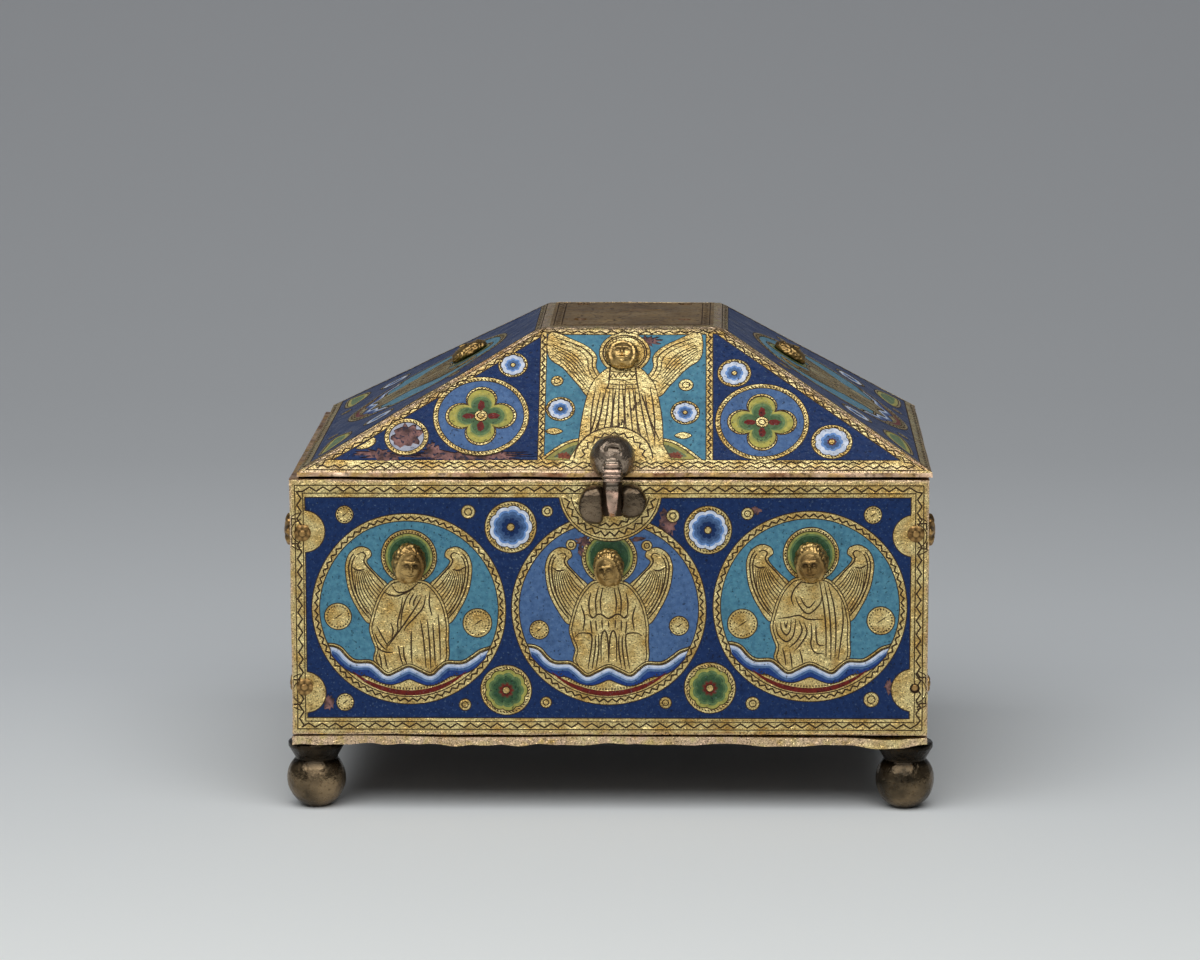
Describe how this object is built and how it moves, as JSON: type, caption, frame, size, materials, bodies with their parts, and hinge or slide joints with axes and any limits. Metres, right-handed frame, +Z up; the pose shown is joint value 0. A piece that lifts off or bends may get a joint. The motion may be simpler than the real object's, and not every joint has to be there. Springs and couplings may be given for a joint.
{
  "type": "chrismatory",
  "caption": "Small box-shaped casket for holy oils in enamelled gilt copper, with a hipped lift-off lid, a front clasp and dark ball feet.",
  "frame": {"origin": "on the floor, under the middle of the overall box", "axes": "+X to the right along the long front, +Y from the front to the back, +Z up"},
  "size_m": [0.1638, 0.12, 0.119],
  "materials": {
    "enamelled_plate": "engraved and gilt copper with blue, turquoise, green, yellow, red and white enamel, worn and pitted",
    "gilt_cast": "cast copper, gilt and worn, dark in the hollows",
    "dark_bronze": "dark brown patina, softly polished",
    "copper_sheet": "bare copper sheet, dull and uneven"
  },
  "bodies": {
    "root": {"front_plate": "enamelled_plate", "front_rivet_upper_left": "gilt_cast", "front_rivet_upper_right": "gilt_cast", "front_rivet_lower_left": "gilt_cast", "front_rivet_lower_right": "dark_bronze", "back_plate": "enamelled_plate", "back_rivet_upper_left": "gilt_cast", "back_rivet_upper_right": "gilt_cast", "back_rivet_lower_left": "gilt_cast", "back_rivet_lower_right": "gilt_cast", "left_plate": "enamelled_plate", "left_rivet_upper_left": "gilt_cast", "left_rivet_upper_right": "gilt_cast", "left_rivet_lower_left": "gilt_cast", "left_rivet_lower_right": "gilt_cast", "right_plate": "enamelled_plate", "right_rivet_upper_left": "gilt_cast", "right_rivet_upper_right": "gilt_cast", "right_rivet_lower_left": "gilt_cast", "right_rivet_lower_right": "gilt_cast", "base_plate": "copper_sheet", "lid": "enamelled_plate", "foot_front_left": "dark_bronze", "foot_front_right": "dark_bronze", "foot_back_left": "dark_bronze", "foot_back_right": "dark_bronze", "clasp_boss": "dark_bronze", "clasp_lug_left": "dark_bronze", "clasp_lug_right": "dark_bronze", "head_front_left": "gilt_cast", "head_front_middle": "gilt_cast", "head_front_right": "gilt_cast", "head_lid_front": "gilt_cast", "head_lid_left": "gilt_cast", "head_lid_right": "gilt_cast"}
  },
  "joints": []
}
